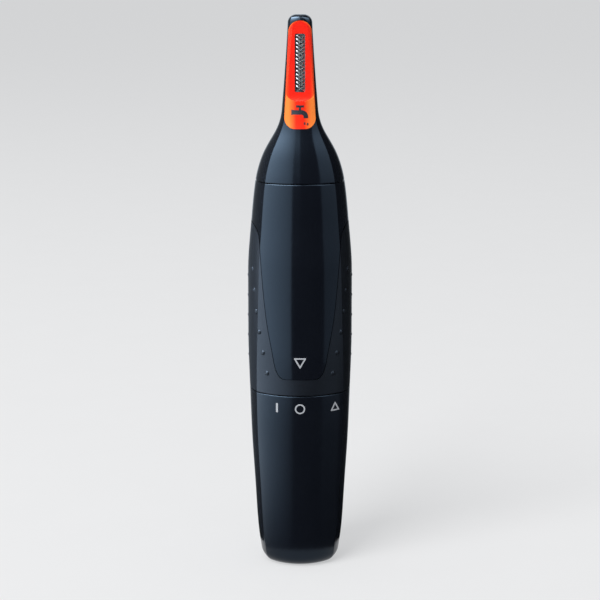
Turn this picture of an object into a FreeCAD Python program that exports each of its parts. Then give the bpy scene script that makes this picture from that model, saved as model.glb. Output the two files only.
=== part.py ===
import FreeCAD, Part

import math
import os

import Sketcher

# Nose hair trimmer driven by one AA cell. +Z runs up the trimmer, -Y is its front, and the origin is
# the middle of the flat base. Lengths are in millimetres.

doc = FreeCAD.newDocument("nose_trimmer")
Vec = FreeCAD.Vector

# ---------------------------------------------------------------- driving dimensions

DIMENSIONS = [
    ("total_height", 138.0, "base to the rounded tip"),
    ("low_seam", 45.7, "joint between battery cap and handle"),
    ("high_seam", 97.9, "joint between handle and head"),
    ("cap_clearance", 0.05, "half of the running gap at the low seam"),
    ("head_clearance", 0.04, "half of the gap at the high seam"),
    ("base_round", 3.2, "rounding of the base edge"),
    ("tip_round", 2.0, "rounding of the tip edge"),
    ("rim_round", 0.28, "small rounding of the shells' rims where they meet"),
    ("grip_thickness", 0.9, "soft grip moulded over the handle"),
    ("grip_groove", 0.12, "visible groove round the tongue of the handle"),
    ("tongue_bottom", 50.0, "lower end of the glossy tongue"),
    ("tongue_shoulder", 88.0, "height where the tongue flares to the sides"),
    ("head_wall", 1.3, "wall of the head and of the guard"),
    ("cap_wall", 1.5, "wall of the battery cap"),
    ("cap_floor", 1.8, "floor of the battery cap"),
    ("bore_radius", 9.7, "bore of the handle"),
    ("head_bore_radius", 9.1, "upper bore of the handle, which takes the head's collar"),
    ("head_bore_low", 90.8, "lower end of the upper bore"),
    ("collar_radius", 9.0, "outside of the head's collar"),
    ("collar_bore", 7.6, "inside of the head's collar"),
    ("collar_low", 92.8, "lower end of the head's collar"),
    ("collar_top", 99.2, "upper end of the collar's flange"),
    ("chassis_radius", 9.6, "outside of the chassis and of its spigot"),
    ("spigot_low", 37.7, "lower end of the spigot"),
    ("spigot_bore", 7.5, "battery tube inside the chassis"),
    ("partition_low", 58.0, "floor between battery and motor"),
    ("partition_top", 60.3, "upper face of that floor"),
    ("cap_bore", 9.75, "bore of the battery cap, round the spigot"),
    ("cap_bore_low", 36.7, "lower end of that bore"),
    ("lug_inner", 9.1, "inner face of the bayonet lugs"),
    ("lug_low", 40.3, "lower face of the bayonet lugs"),
    ("lug_height", 1.4, "height of the bayonet lugs"),
    ("track_floor", 9.0, "floor of the bayonet tracks"),
    ("ring_inner", 9.72, "bore of the switch ring"),
    ("ring_outer", 10.3, "outside of the switch ring"),
    ("ring_low", 46.25, "lower face of the switch ring"),
    ("ring_high", 47.4, "upper face of the switch ring"),
    ("ring_room", 10.4, "counterbore of the handle round the ring"),
    ("ring_room_top", 47.85, "end of that counterbore"),
    ("key_inner", 9.85, "inner face of the drive keys on the cap's rim"),
    ("key_outer", 10.2, "outer face of the drive keys"),
    ("key_top", 47.0, "top of the drive keys"),
    ("cell_radius", 7.25, "AA cell"),
    ("cell_low", 7.1, "negative end of the cell"),
    ("cell_high", 56.2, "shoulder of the cell"),
    ("cell_nub", 2.75, "radius of the positive nub"),
    ("cell_top", 57.6, "top of the positive nub"),
    ("motor_radius", 7.6, "round sides of the motor can"),
    ("motor_flat", 6.0, "flat sides of the motor can"),
    ("motor_low", 64.0, "open end of the motor can"),
    ("motor_high", 84.0, "closed end of the motor can"),
    ("motor_wall", 0.7, "sheet of the motor can"),
    ("boss_radius", 3.1, "bearing boss of the motor"),
    ("boss_top", 85.2, "top of the bearing boss"),
    ("shaft_radius", 1.0, "motor shaft"),
    ("shaft_play", 0.03, "running clearance of the shaft"),
    ("cam_radius", 3.6, "drive cam"),
    ("cam_low", 86.2, "underside of the drive cam"),
    ("cam_middle", 90.5, "height of the slanted cam face on its axis"),
    ("cam_slope", 10.9, "slant of the cam face in degrees"),
    ("stroke", 1.0, "travel of the moving blade"),
    ("follower_depth", 2.6, "distance of the rod from the motor axis, to the front"),
    ("stem_radius", 1.0, "round stem of the drive rod"),
    ("foot_low", 92.27, "foot of the drive rod, at the top of its stroke"),
    ("flange_low", 100.9, "spring flange of the drive rod"),
    ("flange_top", 101.9, "upper face of that flange"),
    ("spring_stop", 107.9, "plate that the return spring pushes against"),
    ("guard_low", 110.9, "lower end of the orange guard"),
    ("guard_high", 136.65, "upper end of the orange guard"),
    ("guard_half_low", 3.8, "half width of the guard at its lower end"),
    ("guard_half_high", 2.82, "half width of the guard at its upper end"),
    ("guard_corner", 2.6, "rounding of the corners of the guard's foot"),
    ("guard_back", -3.4, "rear edge of the guard's side legs"),
    ("flat_depth", -4.62, "flat cutting face of the guard"),
    ("flat_low", 119.2, "where the flat face starts to curve out into the neck"),
    ("slot_half", 1.25, "half width of the cutting slot"),
    ("slot_low", 119.6, "lower end of the cutting slot"),
    ("slot_high", 133.5, "upper end of the cutting slot"),
    ("slot_corner", 0.4, "corner radius of the cutting slot"),
    ("comb_front", -4.12, "front of the fixed comb"),
    ("sheet_steel", 0.3, "thickness of both blades"),
    ("blade_front", -3.8, "front of the moving blade"),
    ("tooth_pitch", 0.93, "pitch of the teeth"),
    ("tooth_gap", 0.45, "gap between teeth"),
]

# The outside of the trimmer: height, half width, half depth, how far the middle lies behind the axis,
# and where the four creases are as a share of the half width and of the half depth.
STATIONS = [
    (0.0, 9.6, 9.1, 0.0, 0.86, 0.62),
    (9.0, 10.75, 10.15, 0.0, 0.86, 0.62),
    (20.5, 11.45, 10.9, 0.0, 0.86, 0.62),
    (33.0, 12.2, 11.55, 0.0, 0.86, 0.62),
    (45.7, 12.65, 12.0, 0.0, 0.85, 0.63),
    (59.0, 13.0, 12.25, 0.0, 0.81, 0.69),
    (75.5, 12.95, 12.25, 0.0, 0.78, 0.72),
    (87.5, 12.1, 11.3, 0.0, 0.77, 0.72),
    (97.9, 10.98, 10.1, -0.1, 0.77, 0.72),
    (102.6, 9.8, 8.8, -0.4, 0.77, 0.72),
    (106.5, 8.08, 7.15, -0.9, 0.77, 0.73),
    (110.0, 6.0, 5.25, -1.4, 0.78, 0.75),
    (113.4, 4.72, 4.02, -1.75, 0.79, 0.78),
    (117.1, 4.3, 3.62, -1.8, 0.80, 0.80),
    (122.9, 3.83, 3.42, -1.8, 0.80, 0.80),
    (130.5, 3.29, 3.27, -1.8, 0.80, 0.80),
    (138.0, 2.86, 3.07, -1.8, 0.80, 0.80),
]
STATION_COLUMNS = ["height", "half_width", "half_depth", "middle", "crease_width", "crease_depth"]

# The right edge of the tongue, as half width and height, from its lower corner to the side.
TONGUE_EDGE = [
    (4.65, 50.32),
    (5.75, 51.9),
    (6.65, 55.7),
    (7.8, 62.0),
    (8.75, 69.5),
    (9.35, 76.6),
    (9.75, 82.6),
    (10.4, 86.3),
    (11.4, 87.6),
]
TONGUE_FOOT = 3.4
TONGUE_REACH = 14.5

sheet = doc.addObject("Spreadsheet::Sheet", "Dims")
for row, (alias, value, note) in enumerate(DIMENSIONS, start=1):
    sheet.set(f"A{row}", note)
    sheet.set(f"B{row}", str(value))
    sheet.setAlias(f"B{row}", alias)
for row, station in enumerate(STATIONS, start=1):
    for letter, column, value in zip("DEFGHI", STATION_COLUMNS, station):
        sheet.set(f"{letter}{row}", str(value))
        sheet.setAlias(f"{letter}{row}", f"{column}_at_{row}")
doc.recompute()


class Size:
    """A length together with the spreadsheet expression that gives it."""

    def __init__(self, value, text=None):
        self.value = float(value)
        self.text = text or f"({self.value})"

    def join(self, other, sign, value):
        return Size(value, f"({self.text} {sign} {as_size(other).text})")

    def __add__(self, other):
        return self.join(other, "+", self.value + as_size(other).value)

    def __sub__(self, other):
        return self.join(other, "-", self.value - as_size(other).value)

    def __mul__(self, other):
        return self.join(other, "*", self.value * as_size(other).value)

    def __radd__(self, other):
        return as_size(other) + self

    def __rsub__(self, other):
        return as_size(other) - self

    def __neg__(self):
        return self * -1


def as_size(value):
    return value if isinstance(value, Size) else Size(value)


def dim(alias):
    return Size(sheet.get(alias), f"Dims.{alias}")


def bind(item, prop, size):
    item.setExpression(prop, as_size(size).text)


# ---------------------------------------------------------------- building blocks


def block(name, x, y, z, turn=None):
    """A box between the low and high ends given for x, y and z. turn is (axis, degrees) about its centre."""
    made = doc.addObject("Part::Box", name)
    spans = [(as_size(low), as_size(high)) for low, high in (x, y, z)]
    for prop, (low, high) in zip(("Length", "Width", "Height"), spans):
        bind(made, prop, high - low)
    if turn:
        centre = Vec(*[(low.value + high.value) / 2 for low, high in spans])
        lows = Vec(*[low.value for low, _ in spans])
        spin = FreeCAD.Rotation(*turn)
        made.Placement = FreeCAD.Placement(centre + spin.multVec(lows - centre), spin)
    else:
        for axis, (low, _) in zip("xyz", spans):
            bind(made, f"Placement.Base.{axis}", low)
    return made


def rod(name, radius, low, high, x=0.0, y=0.0):
    """An upright cylinder."""
    made = doc.addObject("Part::Cylinder", name)
    bind(made, "Radius", radius)
    bind(made, "Height", as_size(high) - low)
    for axis, place in zip("xyz", (x, y, low)):
        bind(made, f"Placement.Base.{axis}", place)
    return made


def cross_rod(name, radius, low, high, x, z):
    """A cylinder along Y."""
    made = doc.addObject("Part::Cylinder", name)
    bind(made, "Radius", radius)
    bind(made, "Height", as_size(high) - low)
    made.Placement = FreeCAD.Placement(Vec(x, as_size(low).value, z), FreeCAD.Rotation(Vec(1, 0, 0), -90))
    return made


def arc_wall(name, inner, outer, low, high, start, span):
    """A piece of a round wall, from the angle start over span degrees, counter-clockwise from +X."""
    wedge = rod(name + "_wedge", outer, low, high)
    wedge.Angle = span
    wedge.Placement.Rotation = FreeCAD.Rotation(Vec(0, 0, 1), start)
    return cut(name, wedge, [rod(name + "_core", inner, low, high)])


def ring(name, inner, outer, low, high, y=0.0):
    disc = rod(name + "_disc", outer, low, high, 0.0, y)
    return cut(name, disc, [rod(name + "_hole", inner, low, high, 0.0, y)])


def doughnut(name, radius, wire, height, y=0.0):
    made = doc.addObject("Part::Torus", name)
    bind(made, "Radius1", radius)
    bind(made, "Radius2", wire)
    made.Placement = FreeCAD.Placement(Vec(0, as_size(y).value, as_size(height).value), FreeCAD.Rotation())
    return made


def cut(name, base, tools):
    """base without the tools."""
    made = doc.addObject("Part::Cut", name)
    made.Base = base
    made.Tool = tools[0] if len(tools) == 1 else fuse(name + "_tools", tools)
    return made


def fuse(name, shapes):
    made = doc.addObject("Part::MultiFuse", name)
    made.Shapes = shapes
    return made


def common(name, base, tool):
    made = doc.addObject("Part::Common", name)
    made.Base = base
    made.Tool = tool
    return made


def feature(name, shape):
    made = doc.addObject("Part::Feature", name)
    made.Shape = shape
    return made


def turned(name, corners):
    """A body turned about the motor axis from a sketch whose corners are (radius, height)."""
    body = doc.addObject("PartDesign::Body", name)
    plane = [item for item in body.Origin.OriginFeatures if item.Role == "XZ_Plane"][0]
    sketch = body.newObject("Sketcher::SketchObject", name + "_profile")
    sketch.AttachmentSupport = (plane, [""])
    sketch.MapMode = "FlatFace"
    spots = [(as_size(radius), as_size(height)) for radius, height in corners]
    count = len(spots)
    for index, (radius, height) in enumerate(spots):
        after = spots[(index + 1) % count]
        start = Vec(radius.value, height.value, 0)
        sketch.addGeometry(Part.LineSegment(start, Vec(after[0].value, after[1].value, 0)))
    for index in range(count):
        sketch.addConstraint(Sketcher.Constraint("Coincident", index, 2, (index + 1) % count, 1))
    for index, (radius, height) in enumerate(spots):
        if radius.value == 0:
            sketch.addConstraint(Sketcher.Constraint("PointOnObject", index, 1, -2))
        else:
            place = sketch.addConstraint(Sketcher.Constraint("DistanceX", -1, 1, index, 1, radius.value))
            sketch.setExpression(f"Constraints[{place}]", radius.text)
        place = sketch.addConstraint(Sketcher.Constraint("DistanceY", -1, 1, index, 1, height.value))
        sketch.setExpression(f"Constraints[{place}]", height.text)
    turn = body.newObject("PartDesign::Revolution", name + "_turn")
    turn.Profile = sketch
    turn.ReferenceAxis = (sketch, ["V_Axis"])
    turn.Angle = 360
    return body


def upright_prism(name, edges, depth_from, depth_to):
    """A face drawn in the XZ plane from edges, pushed along Y from depth_from to depth_to."""
    face = Part.Face(Part.Wire(edges))
    face.translate(Vec(0, depth_from, 0))
    return feature(name, face.extrude(Vec(0, depth_to - depth_from, 0)))


def side_prism(name, edges, half):
    """A face drawn in the YZ plane from edges, pushed to both sides of it."""
    face = Part.Face(Part.Wire(edges))
    face.translate(Vec(-half, 0, 0))
    return feature(name, face.extrude(Vec(2 * half, 0, 0)))


def side_lines(corners):
    """Straight edges in the YZ plane through corners given as (y, z)."""
    spots = [Vec(0, y, z) for y, z in corners]
    return [Part.makeLine(start, end) for start, end in zip(spots, spots[1:])]


def spring(name, radius, wire, pitch, low, high, y=0.0):
    """A round-wire coil spring between two heights, to the outside of its wire."""
    centreline = Part.makeHelix(pitch, high - low - 2 * wire, radius)
    section = Part.Wire(Part.makeCircle(wire, Vec(radius, 0, 0), Vec(0, 1, 0)))
    coil = Part.Wire(centreline).makePipeShell([section], True, True)
    coil.translate(Vec(0, y, low + wire))
    return feature(name, coil)


# ---------------------------------------------------------------- the outside form


def smooth(heights, values):
    """A curve through the values that never overshoots them."""
    last = len(heights) - 1
    steps = [heights[i + 1] - heights[i] for i in range(last)]
    rises = [(values[i + 1] - values[i]) / steps[i] for i in range(last)]
    slopes = [rises[0]]
    for i in range(1, last):
        if rises[i - 1] * rises[i] <= 0:
            slopes.append(0.0)
        else:
            near, far = 2 * steps[i] + steps[i - 1], steps[i] + 2 * steps[i - 1]
            slopes.append(3 * (steps[i - 1] + steps[i]) / (near / rises[i - 1] + far / rises[i]))
    slopes.append(rises[-1])

    def at(height):
        i = max([k for k in range(last) if heights[k] <= height] or [0])
        t = (height - heights[i]) / steps[i]
        start = values[i] * (1 + 2 * t) * (1 - t) ** 2 + slopes[i] * steps[i] * t * (1 - t) ** 2
        return start + values[i + 1] * t * t * (3 - 2 * t) + slopes[i + 1] * steps[i] * t * t * (t - 1)

    return at


def column(title):
    return [sheet.get(f"{title}_at_{row}") for row in range(1, len(STATIONS) + 1)]


PROFILE = [smooth(column("height"), column(title)) for title in STATION_COLUMNS[1:]]
SECTION_STEP = 3.0


def section(height, inset):
    """The cross-section at a height, its wall set inwards: four arcs that meet at the creases."""
    half_width, half_depth, middle, crease_width, crease_depth = [curve(height) for curve in PROFILE]
    half_width -= inset
    half_depth -= inset
    side, front = half_width * crease_width, half_depth * crease_depth

    def spot(x, y):
        return Vec(x, middle + y, height)

    arcs = [
        Part.Arc(spot(-side, -front), spot(0, -half_depth), spot(side, -front)),
        Part.Arc(spot(side, -front), spot(half_width, 0), spot(side, front)),
        Part.Arc(spot(side, front), spot(0, half_depth), spot(-side, front)),
        Part.Arc(spot(-side, front), spot(-half_width, 0), spot(-side, -front)),
    ]
    return Part.Wire([arc.toShape() for arc in arcs])


def form(inset, low, high):
    """The outside form between two heights, set inwards."""
    count = max(2, round((high - low) / SECTION_STEP))
    heights = [low + (high - low) * i / count for i in range(count + 1)]
    return Part.makeLoft([section(height, inset) for height in heights], True, False)


def cell(alias):
    return float(sheet.get(alias))


def rounded_form():
    whole = form(0.0, 0.0, cell("total_height"))
    base_edges = [edge for edge in whole.Edges if edge.BoundBox.ZMax < 0.01]
    whole = whole.makeFillet(cell("base_round"), base_edges)
    tip_edges = [edge for edge in whole.Edges if edge.BoundBox.ZMin > cell("total_height") - 0.1]
    return whole.makeFillet(cell("tip_round"), tip_edges)


WIDE = 30.0
outer_form = feature("outer_form", rounded_form())


def slab(name, low, high):
    return block(name, (-WIDE, WIDE), (-WIDE, WIDE), (low, high))


def rounded_rims(name, base, heights):
    """base with the edges that lie level at the given heights rounded."""
    doc.recompute()
    made = doc.addObject("Part::Fillet", name)
    made.Base = base
    radius = cell("rim_round")
    rims = []
    for number, edge in enumerate(base.Shape.Edges, start=1):
        low, high = edge.BoundBox.ZMin, edge.BoundBox.ZMax
        if any(max(abs(low - level.value), abs(high - level.value)) < 0.01 for level in heights):
            rims.append((number, radius, radius))
    made.Edges = rims
    return made


# ---------------------------------------------------------------- handle shell and grip


def tongue(name, grow, depth_from, depth_to):
    """The tongue outline pushed through one half of the handle, grown by a groove's width."""
    right = [Vec(x + grow, 0, z - grow) for x, z in TONGUE_EDGE]
    low = cell("tongue_bottom") - grow
    shoulder = cell("tongue_shoulder") - grow
    top = cell("tongue_shoulder") + 6
    edge = Part.BSplineCurve()
    edge.interpolate([Vec(TONGUE_FOOT, 0, low)] + right + [Vec(TONGUE_REACH, 0, shoulder)])
    right_edge = edge.toShape()
    left_edge = right_edge.mirror(Vec(0, 0, 0), Vec(1, 0, 0))
    ends = [Vec(TONGUE_REACH, 0, shoulder), Vec(TONGUE_REACH, 0, top)]
    ends += [Vec(-TONGUE_REACH, 0, top), Vec(-TONGUE_REACH, 0, shoulder)]
    lines = [Part.makeLine(a, b) for a, b in zip(ends, ends[1:])]
    foot = Part.makeLine(Vec(-TONGUE_FOOT, 0, low), Vec(TONGUE_FOOT, 0, low))
    corners = Part.__sortEdges__([foot, right_edge, *lines, left_edge])
    return upright_prism(name, corners, depth_from, depth_to)


handle_low = dim("low_seam") + dim("cap_clearance")
handle_high = dim("high_seam") - dim("head_clearance")
handle_slice = common("handle_slice", outer_form, slab("handle_slab", handle_low, handle_high))
handle_blank = rounded_rims("handle_blank", handle_slice, [handle_low, handle_high])
grip_core = feature("grip_core", form(cell("grip_thickness"), 30.0, 102.0))
grip_zone = common("grip_zone", handle_blank, slab("grip_slab", handle_low - 1, dim("tongue_shoulder") + 2))
grip_layer = cut("grip_layer", grip_zone, [grip_core])

recess_tongues = [tongue("recess_front", 0.0, 0.0, -WIDE), tongue("recess_back", 0.0, 0.0, WIDE)]
grip_recess = cut("grip_recess", grip_layer, recess_tongues)

handle_shell = cut(
    "handle_shell",
    handle_blank,
    [
        grip_recess,
        rod("handle_bore", dim("bore_radius"), 40.0, dim("head_bore_low")),
        rod("handle_top_bore", dim("head_bore_radius"), 80.0, 105.0),
        rod("handle_ring_room", dim("ring_room"), 40.0, dim("ring_room_top")),
    ],
)

# Rows of small domes on the grip: angle from the front and height of each, on the right side.
NUB_RADIUS = 0.8
NUB_SUNK = 0.52
SIDE_NUB_SUNK = 0.69
NUB_ROWS = 6
NUB_TOP = 76.6
NUB_PITCH = 5.1
NUB_ANGLE_TOP = 63.0
NUB_ANGLE_STEP = 4.6


def surface_spot(angle, height):
    """Where a ray towards the axis meets the outside, with the direction that it came from."""
    outwards = Vec(math.sin(math.radians(angle)), -math.cos(math.radians(angle)), 0)
    centre = Vec(0, 0, height)
    ray = Part.makeLine(centre + outwards * WIDE, centre)
    inside = outer_form.Shape.common(ray)
    reach = max((vertex.Point - centre).Length for vertex in inside.Vertexes)
    return centre + outwards * reach, outwards


def nubs():
    places = []
    for row_number in range(NUB_ROWS):
        angle = NUB_ANGLE_TOP - NUB_ANGLE_STEP * row_number
        height = NUB_TOP - NUB_PITCH * row_number
        places += [(angle, height, NUB_SUNK), (180 - angle, height, NUB_SUNK)]
        if row_number < NUB_ROWS - 1:
            places.append((90.0, height - NUB_PITCH / 2, SIDE_NUB_SUNK))
    domes = []
    for angle, height, sunk in places:
        for side in (angle, -angle):
            spot, outwards = surface_spot(side, height)
            domes.append(Part.makeSphere(NUB_RADIUS, spot - outwards * sunk))
    return domes


grip_tongues = [
    tongue("grip_front", cell("grip_groove"), 0.0, -WIDE),
    tongue("grip_back", cell("grip_groove"), 0.0, WIDE),
]
grip_smooth = cut("grip_smooth", grip_layer, grip_tongues)
doc.recompute()
nub_core = feature("nub_core", grip_core.Shape)
nub_domes = cut("nub_domes", feature("nub_spheres", Part.makeCompound(nubs())), [nub_core])
grip_sleeve = fuse("grip_sleeve", [grip_smooth, nub_domes])

# ---------------------------------------------------------------- head shell, guard and blades


def stadium(name, grow, depth_from, depth_to):
    """The guard's outline, wide at its foot and narrow at its tip, pushed along Y."""
    low, high = cell("guard_half_low") + grow, cell("guard_half_high") + grow
    corner = cell("guard_corner") + grow
    foot_centre = cell("guard_low") + cell("guard_corner")
    tip_centre = cell("guard_high") - cell("guard_half_high")
    flat = low - corner
    bend = flat + corner * math.sqrt(0.5)
    drop = foot_centre - corner * math.sqrt(0.5)
    right = [Vec(flat, 0, foot_centre - corner), Vec(bend, 0, drop), Vec(low, 0, foot_centre)]
    left = [Vec(-low, 0, foot_centre), Vec(-bend, 0, drop), Vec(-flat, 0, foot_centre - corner)]
    tip = [Vec(high, 0, tip_centre), Vec(0, 0, tip_centre + high), Vec(-high, 0, tip_centre)]
    edges = [
        Part.makeLine(left[2], right[0]),
        Part.Arc(*right).toShape(),
        Part.makeLine(right[2], tip[0]),
        Part.Arc(*tip).toShape(),
        Part.makeLine(tip[2], left[0]),
        Part.Arc(*left).toShape(),
    ]
    return upright_prism(name, edges, depth_from, depth_to)


CAVITY_TOP = 135.9
CHANNEL_HALF = 1.75
CHANNEL_BACK = -1.1
guard_back = cell("guard_back")
head_cavity = feature("head_cavity", form(cell("head_wall"), cell("collar_top"), CAVITY_TOP))
cutter_channel = block(
    "cutter_channel",
    (-CHANNEL_HALF, CHANNEL_HALF),
    (dim("comb_front") - 0.02, CHANNEL_BACK),
    (112.4, CAVITY_TOP),
)
head_low = dim("high_seam") + dim("head_clearance")
head_slice = common("head_slice", outer_form, slab("head_slab", head_low, dim("total_height") + 5))
head_blank = rounded_rims("head_blank", head_slice, [head_low])
collar = fuse(
    "collar", [head_blank, rod("collar_post", dim("collar_radius"), dim("collar_low"), dim("collar_top"))]
)
RINSE_LOW, RINSE_HIGH, RINSE_HALF = 113.8, 124.5, 0.55
head_middle = -1.8
rinse_slot = block(
    "rinse_slot",
    (-WIDE, WIDE),
    (head_middle - RINSE_HALF, head_middle + RINSE_HALF),
    (RINSE_LOW, RINSE_HIGH),
)
SEAL_GROOVE_LOW, SEAL_GROOVE_HIGH, SEAL_GROOVE_FLOOR = 94.9, 95.9, 8.3
head_shell = cut(
    "head_shell",
    collar,
    [
        head_cavity,
        rod("collar_hole", dim("collar_bore"), 90.0, dim("collar_top") + 0.1),
        ring("head_seal_groove", SEAL_GROOVE_FLOOR, 12.0, SEAL_GROOVE_LOW, SEAL_GROOVE_HIGH),
        stadium("guard_window", 0.05, guard_back, -WIDE),
        cutter_channel,
        rinse_slot,
    ],
)
head_seal_ring = doughnut("head_seal_ring", 8.7, 0.39, (SEAL_GROOVE_LOW + SEAL_GROOVE_HIGH) / 2)

# The guard is cut flat over the slot, and below it the cut curves out until it leaves the neck.
FLAT_SWEEP = 2.4
FLAT_FAR, FLAT_TOP = -9.0, 150.0
flat_depth, flat_low = cell("flat_depth"), cell("flat_low")
sweep_end = (flat_depth - FLAT_SWEEP, flat_low - FLAT_SWEEP)
half_turn = FLAT_SWEEP * math.sqrt(0.5)
flat_edges = [
    Part.Arc(
        Vec(0, flat_depth, flat_low),
        Vec(0, flat_depth - FLAT_SWEEP + half_turn, flat_low - half_turn),
        Vec(0, *sweep_end),
    ).toShape(),
    *side_lines([sweep_end, (FLAT_FAR, sweep_end[1]), (FLAT_FAR, FLAT_TOP)]),
    *side_lines([(FLAT_FAR, FLAT_TOP), (flat_depth, FLAT_TOP), (flat_depth, flat_low)]),
]
flat_cut = side_prism("flat_cut", flat_edges, WIDE)
COMB_HALF = 2.2
COMB_LOW, COMB_HIGH = 118.2, 135.2
guard_blank = common("guard_blank", outer_form, stadium("guard_prism", 0.0, guard_back, -WIDE))
slot_blank = block(
    "slot_blank",
    (-dim("slot_half"), dim("slot_half")),
    (-WIDE, 0.0),
    (dim("slot_low"), dim("slot_high")),
)
doc.recompute()
cutting_slot = doc.addObject("Part::Fillet", "cutting_slot")
cutting_slot.Base = slot_blank
slot_corner = cell("slot_corner")
cutting_slot.Edges = [
    (number, slot_corner, slot_corner)
    for number, edge in enumerate(slot_blank.Shape.Edges, start=1)
    if edge.BoundBox.YLength > 1.0
]
cutter_guard = cut(
    "cutter_guard",
    guard_blank,
    [
        head_cavity,
        flat_cut,
        cutter_channel,
        cutting_slot,
        block(
            "comb_recess",
            (-COMB_HALF - 0.03, COMB_HALF + 0.03),
            (dim("comb_front") - 0.02, guard_back),
            (COMB_LOW - 0.03, COMB_HIGH + 0.03),
        ),
    ],
)

TOOTH_COUNT = 15
TOOTH_SLANT = 32.0
FIRST_GAP = 120.07


def toothed_plate(name, half_width, front, low, high, gap_length, slant, first_gap):
    """A steel strip with a ladder of slanted gaps, and a hole for each heat stake."""
    depth = (front, front + dim("sheet_steel"))
    plate = block(name + "_strip", (-half_width, half_width), depth, (low, high))
    gaps = []
    for number in range(TOOTH_COUNT):
        middle = first_gap + dim("tooth_pitch") * number
        half_gap = dim("tooth_gap") * 0.5
        gaps.append(
            block(
                f"{name}_gap_{number + 1}",
                (-gap_length / 2, gap_length / 2),
                (front - 1, front + 2),
                (middle - half_gap, middle + half_gap),
                (Vec(0, 1, 0), slant),
            )
        )
    return cut(name, plate, gaps)


fixed_comb = toothed_plate(
    "fixed_comb", COMB_HALF, dim("comb_front"), COMB_LOW, COMB_HIGH, 2.5, TOOTH_SLANT, FIRST_GAP
)
BLADE_HALF = 1.5
BLADE_LOW, BLADE_HIGH = 118.3, 135.1
STAKE_RADIUS = 0.35
STAKE_HEIGHTS = (118.9, 134.65)
blade_strip = toothed_plate(
    "blade_strip", BLADE_HALF, dim("blade_front"), BLADE_LOW, BLADE_HIGH, 2.2, -TOOTH_SLANT, FIRST_GAP + 0.3
)
blade_back = cell("blade_front") + cell("sheet_steel")
moving_blade = cut(
    "moving_blade",
    blade_strip,
    [
        cross_rod(f"stake_hole_{i + 1}", STAKE_RADIUS, -5.0, -3.0, 0.0, height)
        for i, height in enumerate(STAKE_HEIGHTS)
    ],
)

follower_y = -dim("follower_depth")
CARRIAGE_HALF, CARRIAGE_BACK = 1.3, -1.5
CARRIAGE_LOW, CARRIAGE_HIGH = 114.4, 135.1
carriage = cut(
    "carriage",
    block(
        "carriage_bar",
        (-CARRIAGE_HALF, CARRIAGE_HALF),
        (blade_back, CARRIAGE_BACK),
        (CARRIAGE_LOW, CARRIAGE_HIGH),
    ),
    [block("carriage_relief", (-0.7, 0.7), (-2.6, 0.0), (120.5, 133.0))],
)
stakes = [
    cross_rod(f"stake_{i + 1}", STAKE_RADIUS, dim("blade_front"), blade_back + 0.2, 0.0, height)
    for i, height in enumerate(STAKE_HEIGHTS)
]
drive_rod = fuse(
    "drive_rod",
    [
        carriage,
        rod("stem", dim("stem_radius"), dim("foot_low"), CARRIAGE_LOW + 2, 0.0, follower_y),
        rod("flange", 2.2, dim("flange_low"), dim("flange_top"), 0.0, follower_y),
        *stakes,
    ],
)

STEM_PLAY = 0.05
rod_guide = cut(
    "rod_guide",
    fuse(
        "rod_guide_blank",
        [
            rod("guide_disc", dim("collar_bore"), 96.6, 98.4),
            rod("guide_boss", 2.2, 95.8, 99.2, 0.0, follower_y),
        ],
    ),
    [rod("guide_bore", dim("stem_radius") + STEM_PLAY, 92.0, 101.0, 0.0, follower_y)],
)
spring_stop = dim("spring_stop")
spring_plate = cut(
    "spring_plate",
    common("spring_plate_blank", head_cavity, slab("plate_slab", spring_stop, spring_stop + 1.4)),
    [rod("plate_bore", dim("stem_radius") + STEM_PLAY, 106.0, 114.0, 0.0, follower_y)],
)
SPRING_GAP = 0.02
spring_ends = (cell("flange_top") + SPRING_GAP, cell("spring_stop") - SPRING_GAP)
return_spring = spring("return_spring", 1.6, 0.2, 1.1, *spring_ends, -cell("follower_depth"))

# ---------------------------------------------------------------- motor

motor_radius, motor_flat = dim("motor_radius"), dim("motor_flat")
motor_low, motor_high = dim("motor_low"), dim("motor_high")
motor_wall, boss_top = dim("motor_wall"), dim("boss_top")
shaft_bore = dim("shaft_radius") + dim("shaft_play")
BUSH_RADIUS = 2.1


def two_flats(name, radius, flat, low, high):
    """A round bar with two flat sides, towards the front and the back."""
    bar = rod(name + "_round", radius, low, high)
    return common(name, bar, block(name + "_flats", (-WIDE, WIDE), (-as_size(flat), flat), (low, high)))


can_inner, flat_inner = motor_radius - motor_wall, motor_flat - motor_wall
motor_can = cut(
    "motor_can",
    fuse(
        "can_outside",
        [
            two_flats("can_bar", motor_radius, motor_flat, motor_low, motor_high),
            rod("can_boss", dim("boss_radius"), motor_high - 1, boss_top),
        ],
    ),
    [
        two_flats("can_room", can_inner, flat_inner, motor_low - 1, motor_high - motor_wall),
        rod("can_bush_seat", BUSH_RADIUS, motor_low, boss_top + 1),
    ],
)
front_bushing = turned(
    "motor_front_bushing",
    [
        (shaft_bore, motor_high - motor_wall),
        (BUSH_RADIUS, motor_high - motor_wall),
        (BUSH_RADIUS, boss_top),
        (shaft_bore, boss_top),
    ],
)
END_CAP_LOW, PLUG_PLAY = 62.4, 0.02
end_cap = cut(
    "motor_end_cap",
    fuse(
        "end_cap_blank",
        [
            two_flats("end_cap_disc", motor_radius, motor_flat, END_CAP_LOW, motor_low),
            two_flats("end_cap_plug", can_inner - PLUG_PLAY, flat_inner - PLUG_PLAY, 63.0, 65.0),
        ],
    ),
    [
        rod("end_cap_bush_seat", 1.8, 62.7, 66.0),
        rod("end_cap_well", 4.6, motor_low, 66.0),
        *[
            block(f"end_cap_slot_{side}", (4.3 * sign - 0.2, 4.3 * sign + 0.2), (-1.0, 1.0), (60.0, 66.0))
            for side, sign in (("left", -1), ("right", 1))
        ],
    ],
)
rear_bushing = turned(
    "motor_rear_bushing", [(shaft_bore, 62.7), (1.8, 62.7), (1.8, 64.2), (shaft_bore, 64.2)]
)
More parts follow.
